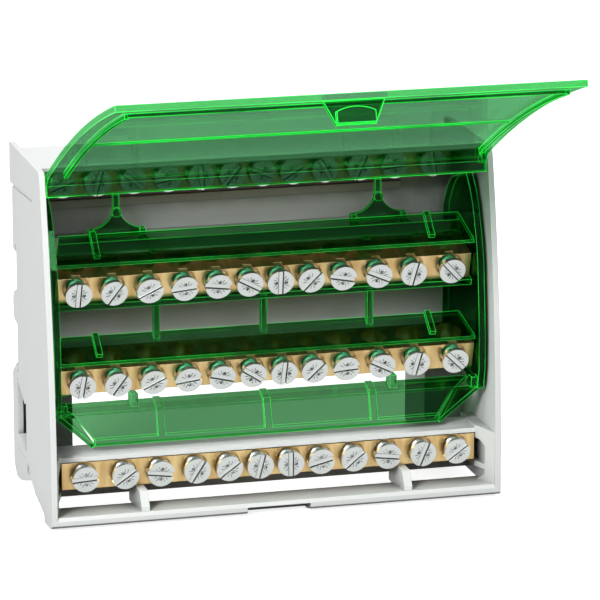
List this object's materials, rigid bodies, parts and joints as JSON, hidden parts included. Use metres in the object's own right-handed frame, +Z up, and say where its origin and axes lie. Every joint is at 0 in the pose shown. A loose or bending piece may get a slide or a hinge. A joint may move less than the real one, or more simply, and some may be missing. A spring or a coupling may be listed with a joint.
{
  "type": "stepped distribution block",
  "caption": "Modular power distribution block for rail mounting, with stepped brass terminal bars and a hinged transparent green cover, shown open.",
  "frame": {"origin": "centre of the rail mount: middle of the width, on the seat plane where the 35 mm rail's flanges rest, at the rail's centre line", "axes": "+X to the right along the terminal bars, +Y to the rear towards the rail, +Z up"},
  "size_m": [0.126, 0.128, 0.1323],
  "materials": {
    "housing_grey": "satin moulded light grey",
    "guard_green": "polished transparent green",
    "cover_green": "polished transparent green",
    "brass": "drawn brass, lightly brushed",
    "zinc": "zinc plated steel"
  },
  "bodies": {
    "base": {"housing": "housing_grey", "finger_guard": "guard_green", "busbar_1": "brass", "busbar_2": "brass", "busbar_3": "brass", "busbar_4": "brass", "screw_1_01": "zinc", "screw_1_02": "zinc", "screw_1_03": "zinc", "screw_1_04": "zinc", "screw_1_05": "zinc", "screw_1_06": "zinc", "screw_1_07": "zinc", "screw_1_08": "zinc", "screw_1_09": "zinc", "screw_1_10": "zinc", "screw_1_11": "zinc", "screw_1_12": "zinc", "screw_2_01": "zinc", "screw_2_02": "zinc", "screw_2_03": "zinc", "screw_2_04": "zinc", "screw_2_05": "zinc", "screw_2_06": "zinc", "screw_2_07": "zinc", "screw_2_08": "zinc", "screw_2_09": "zinc", "screw_2_10": "zinc", "screw_2_11": "zinc", "screw_2_12": "zinc", "screw_3_01": "zinc", "screw_3_02": "zinc", "screw_3_03": "zinc", "screw_3_04": "zinc", "screw_3_05": "zinc", "screw_3_06": "zinc", "screw_3_07": "zinc", "screw_3_08": "zinc", "screw_3_09": "zinc", "screw_3_10": "zinc", "screw_3_11": "zinc", "screw_3_12": "zinc", "screw_4_01": "zinc", "screw_4_02": "zinc", "screw_4_03": "zinc", "screw_4_04": "zinc", "screw_4_05": "zinc", "screw_4_06": "zinc", "screw_4_07": "zinc", "screw_4_08": "zinc", "screw_4_09": "zinc", "screw_4_10": "zinc", "screw_4_11": "zinc", "screw_4_12": "zinc"},
    "cover_body": {"cover": "cover_green"}
  },
  "joints": [
    {"name": "cover_hinge", "type": "hinge", "parent": "base", "child": "cover_body", "pos_m": [0, -0.0303, 0.0432], "axis": [1, 0, 0], "range_deg": [0, 104]}
  ]
}
